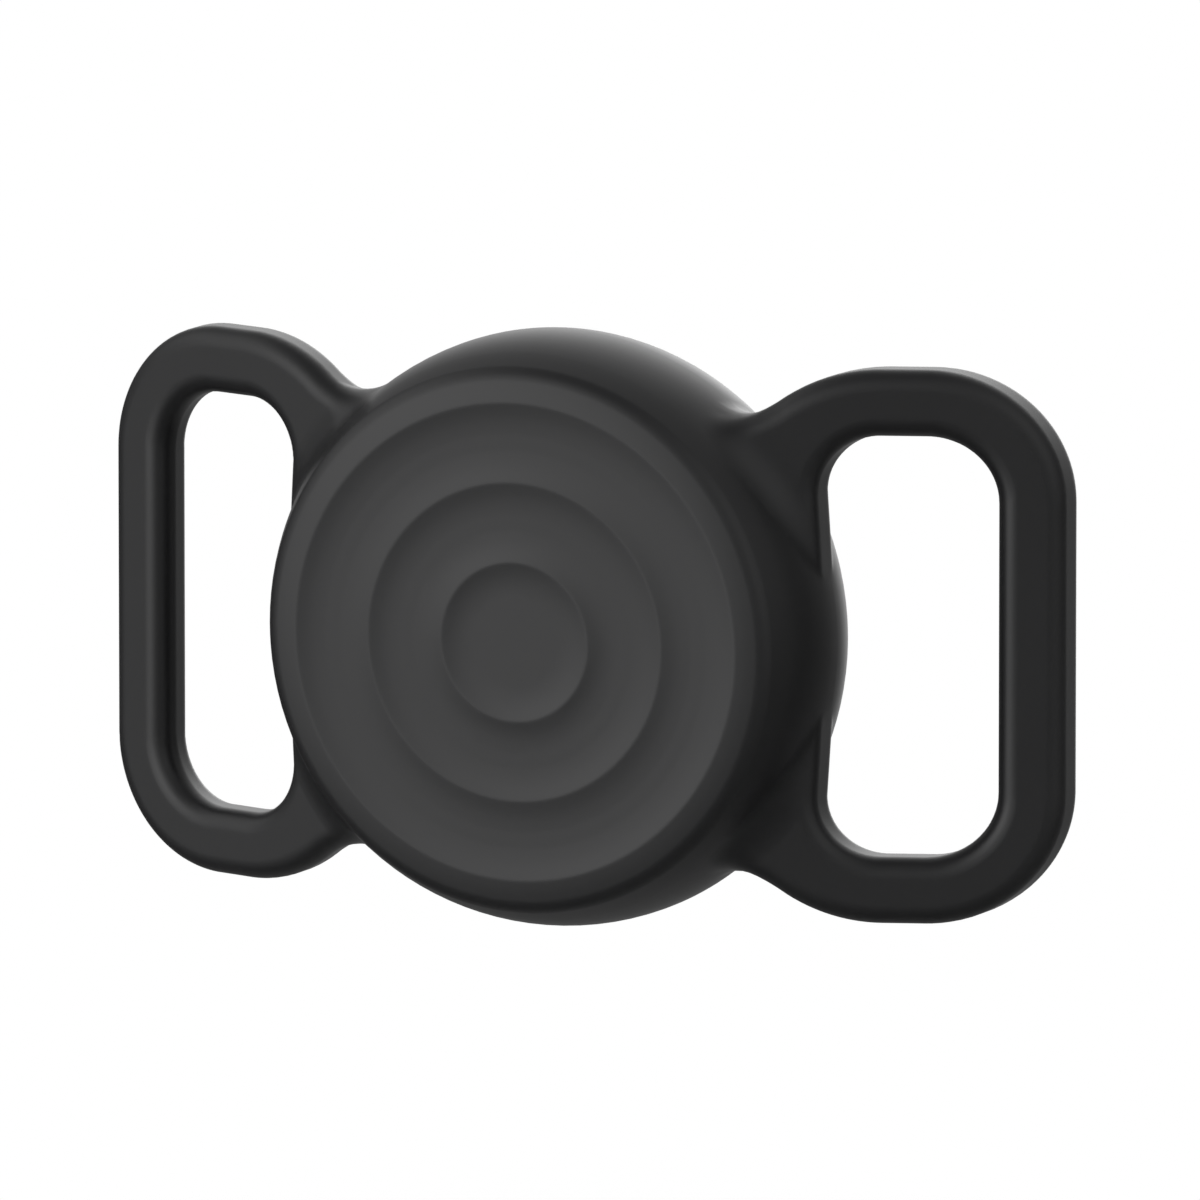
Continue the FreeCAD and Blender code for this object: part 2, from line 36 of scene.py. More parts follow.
# %% [markdown]
# The camera
#
# The picture was taken a little from the right and from just above, with a long lens: the two
# loops have nearly parallel edges. The view was solved from the rings, the rim and the loops, which
# are known circles and straight lines. A long lens far away copies that, and two small side steps
# put the bowl left of the middle, as it is in the picture, with no lens shift.

# %% Camera
VIEW_AZIMUTH, VIEW_ELEVATION = math.radians(24.42), math.radians(8.46)
VIEW_DISTANCE, VIEW_WIDTH = 1388 * MM, 74.53 * MM
STEP_RIGHT, STEP_UP = 5.36 * MM, 2.62 * MM
CREST_PLANE = Vector((0, -12 * MM, 0))
# In millimetres, as Blender gives a lens
FILM_WIDTH = 36


def direction(azimuth, elevation):
    """The unit vector towards an angle to the right of the front and an angle above level."""
    level = math.cos(elevation)
    return Vector((math.sin(azimuth) * level, -math.cos(azimuth) * level, math.sin(elevation)))


towards_camera = direction(VIEW_AZIMUTH, VIEW_ELEVATION)
turn = towards_camera.to_track_quat("Z", "Y").to_matrix()
place = CREST_PLANE + towards_camera * VIEW_DISTANCE + turn @ Vector((STEP_RIGHT, STEP_UP, 0))
lens = bpy.data.cameras.new("view_camera")
lens.sensor_width = FILM_WIDTH
lens.lens = lens.sensor_width * VIEW_DISTANCE / VIEW_WIDTH
camera = bpy.data.objects.new("view_camera", lens)
camera.matrix_world = Matrix.Translation(place) @ turn.to_4x4()
scene.collection.objects.link(camera)
scene.camera = camera
print(f"lens {lens.lens:.0f} mm, {VIEW_DISTANCE:.2f} m away")

# %% [markdown]
# Small tools
#
# Colours are written as the hex values that a paint program shows, and Blender's shaders work in
# linear light, so one function converts them. Every finish is a little network of nodes, so another
# function adds one node, sets what it is told and links what it is given. A third starts a material
# with an empty network, and a fourth turns the real size of a pattern into a node's scale.

# %% Colour and node helpers
# Sockets of the colour mix node, which has several with the same name
FACTOR, FIRST, SECOND, MIXED = 0, 6, 7, 2


def linear(hex_colour):
    """Linear RGBA of an sRGB hex colour."""
    channels = [int(hex_colour[at:at + 2], 16) / 255 for at in (1, 3, 5)]
    return (*(c / 12.92 if c <= 0.04045 else ((c + 0.055) / 1.055) ** 2.4 for c in channels), 1)


def feed(tree, node, inputs):
    """Set or link inputs of a node: each is a value, or the socket that feeds it."""
    for name, value in inputs.items():
        if isinstance(value, bpy.types.NodeSocket):
            tree.links.new(value, node.inputs[name])
        else:
            node.inputs[name].default_value = value


def add(tree, kind, inputs, **settings):
    """A new node with its settings and inputs."""
    node = tree.nodes.new(kind)
    for name, value in settings.items():
        setattr(node, name, value)
    feed(tree, node, inputs)
    return node


def new_material(name):
    """A material with an empty node tree, and that tree."""
    material = bpy.data.materials.new(name)
    material.use_nodes = True
    material.node_tree.nodes.clear()
    return material, material.node_tree


def per_metre(millimetres):
    """The scale of a pattern whose repeat is that many millimetres."""
    return 1 / (millimetres * MM)


print("charcoal in linear light:", [round(c, 4) for c in linear("#202021")[:3]])

# %% [markdown]
# The studio
#
# A black object shows what stands round it, so its tones come from the shape of the light. Here a
# cloth tent surrounds the set, and soft lamps shine through it. The biggest is in front, left of the
# camera, and draws the rings. A second, high at the left, and a wide one at the right lift the sides.
# Those behind trace the upper edges. The camera doesn't see the tent, only a white background.

# %% Light tent
TENT_RADIUS = 3.0
TENT_GLOW = 0.04
# Azimuth, elevation, how tight the lamp's spot is, and how bright
LAMPS = [
    (-32, 8, 8.0, 2.8),
    (-80, 35, 10.0, 1.0),
    (66, 27, 3.5, 0.85),
    (-171, 11, 14.0, 2.5),
    (180, 45, 7.5, 0.7),
    (180, -60, 4.0, 0.25),
]

bpy.ops.mesh.primitive_uv_sphere_add(segments=96, ring_count=48, radius=TENT_RADIUS)
tent = bpy.context.object
tent.name = "light_tent"
tent.visible_camera = False
cloth, tree = new_material("lit_tent_cloth")
spot = add(tree, "ShaderNodeNewGeometry", {}).outputs["Position"]
spot = add(tree, "ShaderNodeVectorMath", {0: spot}, operation="NORMALIZE").outputs[0]
glow = TENT_GLOW
for azimuth, elevation, tightness, brightness in LAMPS:
    aim = direction(math.radians(azimuth), math.radians(elevation))
    near = add(tree, "ShaderNodeVectorMath", {0: spot, 1: aim},
               operation="DOT_PRODUCT").outputs["Value"]
    fall = add(tree, "ShaderNodeMath", {0: near, 1: tightness, 2: -tightness},
               operation="MULTIPLY_ADD")
    lamp = add(tree, "ShaderNodeMath", {0: fall.outputs[0]}, operation="EXPONENT")
    glow = add(tree, "ShaderNodeMath", {0: lamp.outputs[0], 1: brightness, 2: glow},
               operation="MULTIPLY_ADD").outputs[0]
emission = add(tree, "ShaderNodeEmission", {"Strength": glow})
add(tree, "ShaderNodeOutputMaterial", {"Surface": emission.outputs[0]})
tent.data.materials.append(cloth)
print("lamps behind the tent:", len(LAMPS))

# %% [markdown]
# The background
#
# Behind everything is plain white. The world shows it to the camera, and to reflections and glass
# that look out of the tent. It lights nothing by itself, and a strength of 1 is plain white.

# %% White background
world = bpy.data.worlds.new("white_background")
scene.world = world
world.use_nodes = True
tree = world.node_tree
tree.nodes.clear()
ray = add(tree, "ShaderNodeLightPath", {}).outputs
seen = add(tree, "ShaderNodeMath", {0: ray["Is Camera Ray"], 1: ray["Is Glossy Ray"]},
           operation="MAXIMUM")
seen = add(tree, "ShaderNodeMath", {0: seen.outputs[0], 1: ray["Is Transmission Ray"]},
           operation="MAXIMUM")
white = add(tree, "ShaderNodeBackground", {"Color": linear("#ffffff"), "Strength": seen.outputs[0]})
add(tree, "ShaderNodeOutputWorld", {"Surface": white.outputs[0]})
print("world:", world.name)

# %% [markdown]
# The floor
#
# The picture shows no floor, only white. Here a pale floor lies below the frame of the picture, so
# that it catches the soft shadow in the other views. It fades out towards its edge, so that no
# rim of it shows against the white. It is kept out of reflections, because a floor this close
# would lighten the rubber's underside, which is dark in the picture.

# %% Floor
FLOOR_HEIGHT, FLOOR_RADIUS, FLOOR_FADE_START = -66 * MM, 170 * MM, 90 * MM
bpy.ops.mesh.primitive_circle_add(vertices=128, radius=FLOOR_RADIUS, fill_type="NGON",
                                  location=(0, 0, FLOOR_HEIGHT))
floor = bpy.context.object
floor.name = "floor"
floor.visible_glossy = False
paper, tree = new_material("matt_white_paper")
where = add(tree, "ShaderNodeTexCoord", {}).outputs["Object"]
reach = add(tree, "ShaderNodeVectorMath", {0: where}, operation="LENGTH").outputs["Value"]
fade = add(tree, "ShaderNodeMapRange", {"Value": reach, "From Min": FLOOR_FADE_START,
                                        "From Max": FLOOR_RADIUS},
           interpolation_type="SMOOTHSTEP")
fibres = add(tree, "ShaderNodeTexNoise", {"Vector": where, "Scale": per_metre(2), "Detail": 4})
shade = add(tree, "ShaderNodeMix", {FACTOR: fibres.outputs["Fac"], FIRST: linear("#f2f2f0"),
                                    SECOND: linear("#f6f6f4")}, data_type="RGBA")
sheet = add(tree, "ShaderNodeBsdfDiffuse", {"Color": shade.outputs[MIXED]})
clear = add(tree, "ShaderNodeBsdfTransparent", {})
mixed = add(tree, "ShaderNodeMixShader", {0: fade.outputs["Result"], 1: sheet.outputs[0],
                                          2: clear.outputs[0]})
add(tree, "ShaderNodeOutputMaterial", {"Surface": mixed.outputs[0]})
floor.data.materials.append(paper)
print(f"floor {-FLOOR_HEIGHT / MM:.0f} mm below the middle")

# %% [markdown]
# How a finish is made
#
# Each finish belongs to a material slot of the CAD record. It starts with an empty shader and the
# place on the piece in metres, so that a pattern can be drawn at its real size. Turned pieces carry
# marks that run round the axis. For those, the place is turned into a radius and a depth, which
# stay the same all the way round.

# %% Finish helpers
FINISHES = {}


def finish(slot, name):
    """A new material for a slot: its tree, its shader and the place on the piece in metres."""
    material, tree = new_material(name)
    shader = add(tree, "ShaderNodeBsdfPrincipled", {})
    add(tree, "ShaderNodeOutputMaterial", {"Surface": shader.outputs[0]})
    FINISHES[slot] = material
    print("finish:", name)
    return tree, shader, add(tree, "ShaderNodeTexCoord", {}).outputs["Object"]


def round_axis(tree, where):
    """The place as (radius from the tag's axis, depth, 0), the same all the way round."""
    flat = add(tree, "ShaderNodeVectorMath", {0: where, 1: (1, 0, 1)}, operation="MULTIPLY")
    radius = add(tree, "ShaderNodeVectorMath", {0: flat.outputs[0]},
                 operation="LENGTH").outputs["Value"]
    depth = add(tree, "ShaderNodeSeparateXYZ", {0: where}).outputs["Y"]
    return add(tree, "ShaderNodeCombineXYZ", {"X": radius, "Y": depth}).outputs[0]


# %% [markdown]
# Black silicone rubber
#
# The holder is moulded from black silicone rubber in a finely blasted mould. That gives the eye an
# even, dark grey sheen without a clear reflection. The refractive index of silicone is about 1.43.
# A fine grain softens the sheen, and faint wide clouds stand for the bloom of the rubber. Rubber
# never quite fills a sharp corner of a mould, so a bevel node rounds the light on the crests.

# %% Silicone
CREST_ROUNDING = 0.35 * MM
tree, shader, where = finish("silicone_black", "moulded_black_silicone")
clouds = add(tree, "ShaderNodeTexNoise", {"Vector": where, "Scale": per_metre(9), "Detail": 3})
tone = add(tree, "ShaderNodeMix", {FACTOR: clouds.outputs["Fac"], FIRST: linear("#1a1a1b"),
                                   SECOND: linear("#1d1d1e")}, data_type="RGBA")
rough = add(tree, "ShaderNodeMapRange", {"Value": clouds.outputs["Fac"], "To Min": 0.34,
                                         "To Max": 0.39})
grain = add(tree, "ShaderNodeTexNoise", {"Vector": where, "Scale": per_metre(0.16), "Detail": 2})
crests = add(tree, "ShaderNodeBevel", {"Radius": CREST_ROUNDING}, samples=8)
bump = add(tree, "ShaderNodeBump", {"Height": grain.outputs["Fac"], "Strength": 0.08,
                                    "Distance": 0.02 * MM, "Normal": crests.outputs["Normal"]})
feed(tree, shader, {"Base Color": tone.outputs[MIXED], "Roughness": rough.outputs["Result"],
                    "Normal": bump.outputs["Normal"], "IOR": 1.43})

# %% [markdown]
# White polycarbonate
#
# The tag's case is moulded from white polycarbonate in a polished mould, so it looks like glazed
# china: a clear reflection on a clean white. Moulded gloss is never quite flat, so there is a faint
# orange peel, and handling leaves soft smears that are a little less shiny.

# %% Polycarbonate
tree, shader, where = finish("case_white", "polished_white_polycarbonate")
smears = add(tree, "ShaderNodeTexNoise", {"Vector": where, "Scale": per_metre(7), "Detail": 5,
                                          "Distortion": 0.6})
tone = add(tree, "ShaderNodeMix", {FACTOR: smears.outputs["Fac"], FIRST: linear("#e6e6e3"),
                                   SECOND: linear("#ededea")}, data_type="RGBA")
rough = add(tree, "ShaderNodeMapRange", {"Value": smears.outputs["Fac"], "From Min": 0.3,
                                         "From Max": 0.7, "To Min": 0.09, "To Max": 0.22})
peel = add(tree, "ShaderNodeTexNoise", {"Vector": where, "Scale": per_metre(0.9), "Detail": 1})
bump = add(tree, "ShaderNodeBump", {"Height": peel.outputs["Fac"], "Strength": 0.06,
                                    "Distance": 0.02 * MM})
feed(tree, shader, {"Base Color": tone.outputs[MIXED], "Roughness": rough.outputs["Result"],
                    "Normal": bump.outputs["Normal"], "IOR": 1.585})

# %% [markdown]
# Grey ABS
#
# The battery tray and the antenna's carrier are plain inner mouldings with a spark-eroded surface:
# a dull dark grey with a pebbly grain of about a quarter of a millimetre.

# %% Grey ABS
tree, shader, where = finish("tray_grey", "spark_eroded_grey_abs")
pebbles = add(tree, "ShaderNodeTexVoronoi", {"Vector": where, "Scale": per_metre(0.25)})
clouds = add(tree, "ShaderNodeTexNoise", {"Vector": where, "Scale": per_metre(4), "Detail": 3})
tone = add(tree, "ShaderNodeMix", {FACTOR: clouds.outputs["Fac"], FIRST: linear("#38383a"),
                                   SECOND: linear("#404042")}, data_type="RGBA")
rough = add(tree, "ShaderNodeMapRange", {"Value": pebbles.outputs["Distance"], "To Min": 0.5,
                                         "To Max": 0.66})
bump = add(tree, "ShaderNodeBump", {"Height": pebbles.outputs["Distance"], "Strength": 0.25,
                                    "Distance": 0.03 * MM})
feed(tree, shader, {"Base Color": tone.outputs[MIXED], "Roughness": rough.outputs["Result"],
                    "Normal": bump.outputs["Normal"], "IOR": 1.54})

# %% [markdown]
# Natural acetal
#
# The bayonet ring under the cover is acetal, a waxy milk-white plastic that slides well. Its sheen
# is silky, and faint flow lines run round it from the moulding.

# %% Acetal
tree, shader, where = finish("ring_white", "moulded_natural_acetal")
flow = add(tree, "ShaderNodeTexNoise", {"Vector": round_axis(tree, where), "Scale": per_metre(0.5),
                                        "Detail": 4})
tone = add(tree, "ShaderNodeMix", {FACTOR: flow.outputs["Fac"], FIRST: linear("#d6d6d0"),
                                   SECOND: linear("#e2e2dc")}, data_type="RGBA")
rough = add(tree, "ShaderNodeMapRange", {"Value": flow.outputs["Fac"], "To Min": 0.3,
                                         "To Max": 0.44})
bump = add(tree, "ShaderNodeBump", {"Height": flow.outputs["Fac"], "Strength": 0.1,
                                    "Distance": 0.02 * MM})
feed(tree, shader, {"Base Color": tone.outputs[MIXED], "Roughness": rough.outputs["Result"],
                    "Normal": bump.outputs["Normal"], "IOR": 1.48})

# %% [markdown]
# Circuit board
#
# The board is glass cloth and resin under a green solder mask. Copper tracks under the mask show as
# paler raised lines about 0.35 mm wide, and the mask itself has a soft gloss.

# %% Circuit board
tree, shader, where = finish("board_green", "green_solder_mask_board")
spread = add(tree, "ShaderNodeMapping", {"Vector": where, "Rotation": (math.radians(90), 0, 0)})
tracks = add(tree, "ShaderNodeTexBrick", {"Vector": spread.outputs[0], "Color1": linear("#0b3d26"),
                                          "Color2": linear("#0d452b"), "Mortar": linear("#1d6a41"),
                                          "Scale": 1,
                                          "Brick Width": 3.1 * MM, "Row Height": 1.3 * MM,
                                          "Mortar Size": 0.17 * MM, "Mortar Smooth": 0.3})
weave = add(tree, "ShaderNodeTexNoise", {"Vector": where, "Scale": per_metre(0.4), "Detail": 2})
rough = add(tree, "ShaderNodeMapRange", {"Value": weave.outputs["Fac"], "To Min": 0.24,
                                         "To Max": 0.4})
bump = add(tree, "ShaderNodeBump", {"Height": tracks.outputs["Fac"], "Strength": 0.5,
                                    "Distance": 0.035 * MM})
feed(tree, shader, {"Base Color": tracks.outputs["Color"], "Roughness": rough.outputs["Result"],
                    "Normal": bump.outputs["Normal"], "IOR": 1.52})

# %% [markdown]
# Chip epoxy
#
# Chips and the inductor are cast in black epoxy full of fine silica. That makes them matt, a little
# grey, and speckled when seen closely.

# %% Chip epoxy
tree, shader, where = finish("chip_black", "moulded_black_epoxy")
silica = add(tree, "ShaderNodeTexNoise", {"Vector": where, "Scale": per_metre(0.12), "Detail": 2,
                                          "Roughness": 0.7})
tone = add(tree, "ShaderNodeMix", {FACTOR: silica.outputs["Fac"], FIRST: linear("#141416"),
                                   SECOND: linear("#26262a")}, data_type="RGBA")
rough = add(tree, "ShaderNodeMapRange", {"Value": silica.outputs["Fac"], "To Min": 0.5,
                                         "To Max": 0.68})
bump = add(tree, "ShaderNodeBump", {"Height": silica.outputs["Fac"], "Strength": 0.2,
                                    "Distance": 0.015 * MM})
feed(tree, shader, {"Base Color": tone.outputs[MIXED], "Roughness": rough.outputs["Result"],
                    "Normal": bump.outputs["Normal"], "IOR": 1.55})

# %% [markdown]
# Tinned steel
#
# The radio's shield, the crystal's can and the sounder's yoke are thin steel with a coat of tin. Tin
# freezes in patches, so neighbouring patches shine a little differently.

# %% Tinned steel
tree, shader, where = finish("shield_steel", "tinned_sheet_steel")
patches = add(tree, "ShaderNodeTexVoronoi", {"Vector": where, "Scale": per_metre(1.4)})
patch = add(tree, "ShaderNodeSeparateColor", {0: patches.outputs["Color"]}).outputs["Red"]
tone = add(tree, "ShaderNodeMix", {FACTOR: patch, FIRST: linear("#b4b5b3"),
                                   SECOND: linear("#cacac7")},
           data_type="RGBA")
rough = add(tree, "ShaderNodeMapRange", {"Value": patch, "To Min": 0.24, "To Max": 0.42})
feed(tree, shader, {"Base Color": tone.outputs[MIXED], "Roughness": rough.outputs["Result"],
                    "Metallic": 1})

# %% [markdown]
# Ceramic capacitors
#
# A chip capacitor is a tan block of fired ceramic with a cap of tin on each end. The caps take the
# outer parts of its longer side, here measured over the block from 0 to 1.

# %% Capacitor
END_CAP_SHARE = 0.24
tree, shader, where = finish("capacitor_tan", "fired_ceramic_with_tinned_ends")
block = add(tree, "ShaderNodeTexCoord", {}).outputs["Generated"]
along = add(tree, "ShaderNodeSeparateXYZ", {0: block}).outputs["Z"]
from_middle = add(tree, "ShaderNodeMath", {0: along, 1: 0.5, 2: 0.5 - END_CAP_SHARE},
                  operation="COMPARE")
speckle = add(tree, "ShaderNodeTexNoise", {"Vector": where, "Scale": per_metre(0.1), "Detail": 2})
fired = add(tree, "ShaderNodeMix", {FACTOR: speckle.outputs["Fac"], FIRST: linear("#b08a5e"),
                                    SECOND: linear("#caa67a")}, data_type="RGBA")
tone = add(tree, "ShaderNodeMix", {FACTOR: from_middle.outputs[0], FIRST: linear("#c4c4c1"),
                                   SECOND: fired.outputs[MIXED]}, data_type="RGBA")
tin = add(tree, "ShaderNodeMath", {0: 1, 1: from_middle.outputs[0]}, operation="SUBTRACT")
rough = add(tree, "ShaderNodeMapRange", {"Value": speckle.outputs["Fac"], "To Min": 0.32,
                                         "To Max": 0.5})
feed(tree, shader, {"Base Color": tone.outputs[MIXED], "Roughness": rough.outputs["Result"],
                    "Metallic": tin.outputs[0]})

# %% [markdown]
# Copper
#
# The sounder's coil is wound from fine enamelled wire, and the antenna is etched in rings from foil.
# Both show as fine copper lines that run round the axis. Their colour carries painted shade: darker
# in the grooves between the turns and paler on the crowns. Real wire here is about 0.08 mm thick,
# and it is drawn at 0.16 mm so that it shows.

# %% Copper
tree, shader, where = finish("copper", "enamelled_copper_wire")
split = add(tree, "ShaderNodeSeparateXYZ", {0: round_axis(tree, where)}).outputs
across = add(tree, "ShaderNodeMath", {0: split["X"], 1: split["Y"]}, operation="ADD")
turns = add(tree, "ShaderNodeMath", {0: across.outputs[0], 1: 2 * math.pi * per_metre(0.16)},
            operation="MULTIPLY")
wire = add(tree, "ShaderNodeMath", {0: turns.outputs[0]}, operation="SINE")
# Painted shade: the copper is painted dark in the grooves between turns and pale on their crowns,
# following the bump.
wire_relief_and_shade = add(tree, "ShaderNodeMapRange", {"Value": wire.outputs[0], "From Min": -1})
tone = add(tree, "ShaderNodeMix", {FACTOR: wire_relief_and_shade.outputs["Result"], FIRST: linear("#8a4526"),
                                   SECOND: linear("#d08458")}, data_type="RGBA")
stain = add(tree, "ShaderNodeTexNoise", {"Vector": where, "Scale": per_metre(1.5), "Detail": 3})
rough = add(tree, "ShaderNodeMapRange", {"Value": stain.outputs["Fac"], "To Min": 0.2,
                                         "To Max": 0.4})
bump = add(tree, "ShaderNodeBump", {"Height": wire_relief_and_shade.outputs["Result"], "Strength": 0.5,
                                    "Distance": 0.04 * MM})
feed(tree, shader, {"Base Color": tone.outputs[MIXED], "Roughness": rough.outputs["Result"],
                    "Normal": bump.outputs["Normal"], "Metallic": 1})

# %% [markdown]
# Nickel plate
#
# The sounder's magnet is pressed from powder and plated with nickel: a warm silver shine over a
# slightly lumpy core.

# %% Nickel
tree, shader, where = finish("magnet_nickel", "nickel_plated_magnet")
lumps = add(tree, "ShaderNodeTexNoise", {"Vector": where, "Scale": per_metre(0.6), "Detail": 3})
tone = add(tree, "ShaderNodeMix", {FACTOR: lumps.outputs["Fac"], FIRST: linear("#bdb7aa"),
                                   SECOND: linear("#d0cbc0")}, data_type="RGBA")
rough = add(tree, "ShaderNodeMapRange", {"Value": lumps.outputs["Fac"], "To Min": 0.16,
                                         "To Max": 0.3})
bump = add(tree, "ShaderNodeBump", {"Height": lumps.outputs["Fac"], "Strength": 0.12,
                                    "Distance": 0.03 * MM})
feed(tree, shader, {"Base Color": tone.outputs[MIXED], "Roughness": rough.outputs["Result"],
                    "Normal": bump.outputs["Normal"], "Metallic": 1})

# %% [markdown]
# Gold-plated springs
#
# The battery contacts are punched from rolled bronze strip and plated with gold. The plate is thin,
# so the rolling marks of the strip still show as long streaks.

# %% Gold
tree, shader, where = finish("contact_gold", "gold_plated_bronze_strip")
stretch = add(tree, "ShaderNodeMapping", {"Vector": where,
                                          "Scale": (per_metre(0.1), per_metre(0.1),
                                                    per_metre(2.5))})
streaks = add(tree, "ShaderNodeTexNoise", {"Vector": stretch.outputs[0], "Scale": 1, "Detail": 3})
tone = add(tree, "ShaderNodeMix", {FACTOR: streaks.outputs["Fac"], FIRST: linear("#c79a45"),
                                   SECOND: linear("#e2bd70")}, data_type="RGBA")
rough = add(tree, "ShaderNodeMapRange", {"Value": streaks.outputs["Fac"], "To Min": 0.2,
                                         "To Max": 0.34})
bump = add(tree, "ShaderNodeBump", {"Height": streaks.outputs["Fac"], "Strength": 0.08,
                                    "Distance": 0.02 * MM})
feed(tree, shader, {"Base Color": tone.outputs[MIXED], "Roughness": rough.outputs["Result"],
                    "Normal": bump.outputs["Normal"], "Metallic": 1})

# %% [markdown]
# Drawn steel of the cell
#
# The coin cell's can and cap are drawn from stainless sheet. Drawing leaves fine rings round the
# axis, and they spread the shine into a soft fan.

# %% Cell steel
tree, shader, where = finish("cell_steel", "drawn_stainless_steel")
rings = add(tree, "ShaderNodeTexNoise", {"Vector": round_axis(tree, where), "Scale": per_metre(0.2),
                                         "Detail": 3})
tone = add(tree, "ShaderNodeMix", {FACTOR: rings.outputs["Fac"], FIRST: linear("#a9abae"),
                                   SECOND: linear("#bfc1c3")}, data_type="RGBA")
rough = add(tree, "ShaderNodeMapRange", {"Value": rings.outputs["Fac"], "To Min": 0.22,
                                         "To Max": 0.38})
bump = add(tree, "ShaderNodeBump", {"Height": rings.outputs["Fac"], "Strength": 0.15,
                                    "Distance": 0.02 * MM})
feed(tree, shader, {"Base Color": tone.outputs[MIXED], "Roughness": rough.outputs["Result"],
                    "Normal": bump.outputs["Normal"], "Metallic": 1})

# %% [markdown]
# The cell's gasket
#
# A ring of black nylon keeps the can and the cap apart. It is moulded, smooth and a little waxy.

# %% Gasket
tree, shader, where = finish("gasket_black", "moulded_black_nylon")
clouds = add(tree, "ShaderNodeTexNoise", {"Vector": where, "Scale": per_metre(0.8), "Detail": 3})
tone = add(tree, "ShaderNodeMix", {FACTOR: clouds.outputs["Fac"], FIRST: linear("#1a1a1a"),
                                   SECOND: linear("#242424")}, data_type="RGBA")
rough = add(tree, "ShaderNodeMapRange", {"Value": clouds.outputs["Fac"], "To Min": 0.36,
                                         "To Max": 0.5})
feed(tree, shader, {"Base Color": tone.outputs[MIXED], "Roughness": rough.outputs["Result"],
                    "IOR": 1.53})

# %% [markdown]
# Lithium
#
# The anode is a disc punched from soft rolled lithium. It is silver when cut and greys at once in
# patches, with dull streaks along the rolling direction.

# %% Lithium
tree, shader, where = finish("lithium", "rolled_lithium_foil")
stretch = add(tree, "ShaderNodeMapping", {"Vector": where,
                                          "Scale": (per_metre(4), per_metre(0.3), per_metre(0.3))})
streaks = add(tree, "ShaderNodeTexNoise", {"Vector": stretch.outputs[0], "Scale": 1, "Detail": 4})
tone = add(tree, "ShaderNodeMix", {FACTOR: streaks.outputs["Fac"], FIRST: linear("#8f9093"),
                                   SECOND: linear("#b9babd")}, data_type="RGBA")
rough = add(tree, "ShaderNodeMapRange", {"Value": streaks.outputs["Fac"], "To Min": 0.4,
                                         "To Max": 0.6})
feed(tree, shader, {"Base Color": tone.outputs[MIXED], "Roughness": rough.outputs["Result"],
                    "Metallic": 1})

# %% [markdown]
# Separator
#
# A sheet of white non-woven fibre lies between the two halves of the cell. Its crossed fibres, about
# 0.1 mm across, give it the look of thin felt.

# %% Separator
tree, shader, where = finish("separator", "non_woven_fibre_sheet")
fibres = add(tree, "ShaderNodeTexNoise", {"Vector": where, "Scale": per_metre(0.4), "Detail": 6,
                                          "Roughness": 0.75, "Distortion": 1.5})
tone = add(tree, "ShaderNodeMix", {FACTOR: fibres.outputs["Fac"], FIRST: linear("#dcd9d0"),
                                   SECOND: linear("#efece4")}, data_type="RGBA")
bump = add(tree, "ShaderNodeBump", {"Height": fibres.outputs["Fac"], "Strength": 0.4,
                                    "Distance": 0.04 * MM})
feed(tree, shader, {"Base Color": tone.outputs[MIXED], "Roughness": 0.92,
                    "Normal": bump.outputs["Normal"], "Sheen Weight": 0.15})

# %% [markdown]
# Cathode pellet
#
# The cathode is black manganese dioxide with carbon, pressed into a pellet: dull, granular and
# without any shine.

# %% Cathode
tree, shader, where = finish("cathode_black", "pressed_manganese_dioxide")
grains = add(tree, "ShaderNodeTexVoronoi", {"Vector": where, "Scale": per_metre(0.18)})
tone = add(tree, "ShaderNodeMix", {FACTOR: grains.outputs["Distance"], FIRST: linear("#111112"),
                                   SECOND: linear("#222224")}, data_type="RGBA")
bump = add(tree, "ShaderNodeBump", {"Height": grains.outputs["Distance"], "Strength": 0.5,
                                    "Distance": 0.04 * MM})
feed(tree, shader, {"Base Color": tone.outputs[MIXED], "Roughness": 0.88,
                    "Normal": bump.outputs["Normal"]})

# %% [markdown]
# Polished stainless cover
#
# The battery cover is stamped from stainless steel and spun against a buffing wheel. It is close to a
# mirror, with very fine rings from the wheel and wider patches that wear has dulled. The wheel also
# takes the edge off the rim, so a bevel node softens the light there.

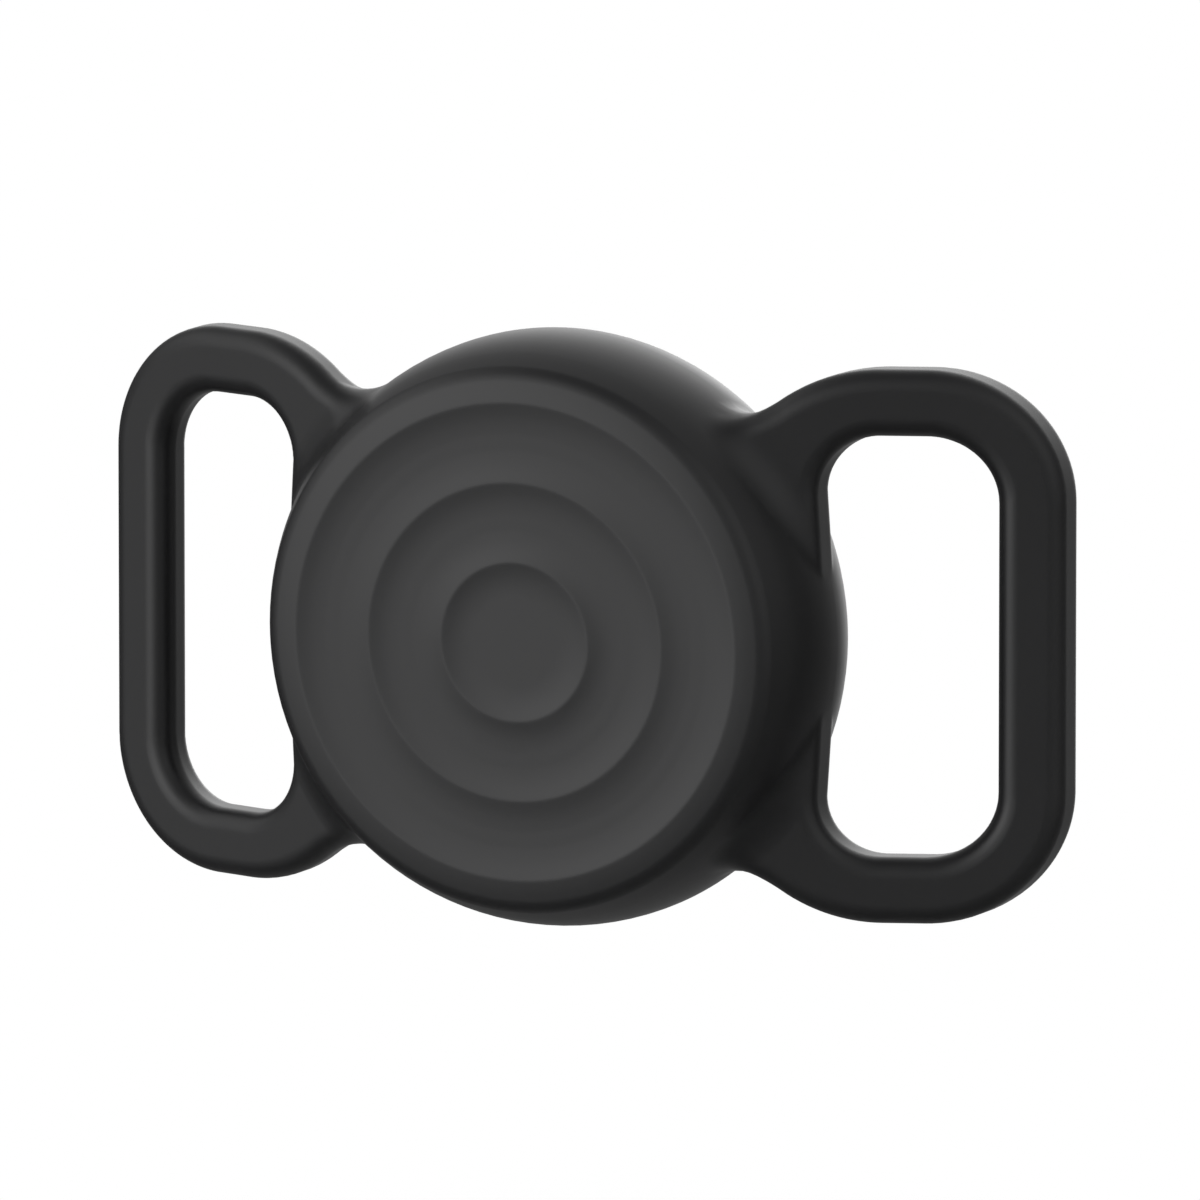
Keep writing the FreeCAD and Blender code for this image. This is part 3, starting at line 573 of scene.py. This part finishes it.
# %% Cover steel
RIM_ROUNDING = 0.25 * MM
tree, shader, where = finish("cover_steel", "polished_stainless_steel")
rings = add(tree, "ShaderNodeTexNoise", {"Vector": round_axis(tree, where),
                                         "Scale": per_metre(0.15), "Detail": 2})
wear = add(tree, "ShaderNodeTexNoise", {"Vector": where, "Scale": per_metre(8), "Detail": 5,
                                        "Distortion": 0.8})
tone = add(tree, "ShaderNodeMix", {FACTOR: rings.outputs["Fac"], FIRST: linear("#bfc0c2"),
                                   SECOND: linear("#cdced0")}, data_type="RGBA")
rough = add(tree, "ShaderNodeMapRange", {"Value": wear.outputs["Fac"], "From Min": 0.3,
                                         "From Max": 0.7, "To Min": 0.1, "To Max": 0.22})
buffed = add(tree, "ShaderNodeBevel", {"Radius": RIM_ROUNDING}, samples=8)
bump = add(tree, "ShaderNodeBump", {"Height": rings.outputs["Fac"], "Strength": 0.05,
                                    "Distance": 0.02 * MM, "Normal": buffed.outputs["Normal"]})
feed(tree, shader, {"Base Color": tone.outputs[MIXED], "Roughness": rough.outputs["Result"],
                    "Normal": bump.outputs["Normal"], "Metallic": 1})

# %% [markdown]
# Putting the finishes on
#
# The record says which slot each CAD node takes its finish from, so one loop dresses them all.

# %% Assign the finishes
for row in frame["record"]["subparts"]:
    shown = frame["nodes"][row["node"]]
    shown.data.materials.clear()
    shown.data.materials.append(FINISHES[row["material_slot"]])

# %% [markdown]
# White paper for the metal
#
# Polished metal shows what stands round it, and in a white studio that is white paper. The rubber
# needs the darker tent. So a shell of see-through paper glows for the metal pieces alone, which
# light linking allows: a lamp or a glowing mesh can be told which pieces receive its light.

# %% Paper shell
PAPER_RADIUS, PAPER_GLOW = 2.7, 0.7
METALS = ("cover_steel", "cell_steel", "shield_steel", "magnet_nickel", "contact_gold", "copper",
          "lithium")
bpy.ops.mesh.primitive_uv_sphere_add(segments=96, ring_count=48, radius=PAPER_RADIUS)
shell = bpy.context.object
shell.name = "paper_shell"
shell.visible_camera = False
glowing, tree = new_material("lit_see_through_paper")
light = add(tree, "ShaderNodeEmission", {"Strength": PAPER_GLOW})
clear = add(tree, "ShaderNodeBsdfTransparent", {})
both = add(tree, "ShaderNodeAddShader", {0: light.outputs[0], 1: clear.outputs[0]})
add(tree, "ShaderNodeOutputMaterial", {"Surface": both.outputs[0]})
shell.data.materials.append(glowing)
metal_pieces = bpy.data.collections.new("metal_pieces")
for row in frame["record"]["subparts"]:
    if row["material_slot"] in METALS:
        metal_pieces.objects.link(frame["nodes"][row["node"]])
shell.light_linking.receiver_collection = metal_pieces
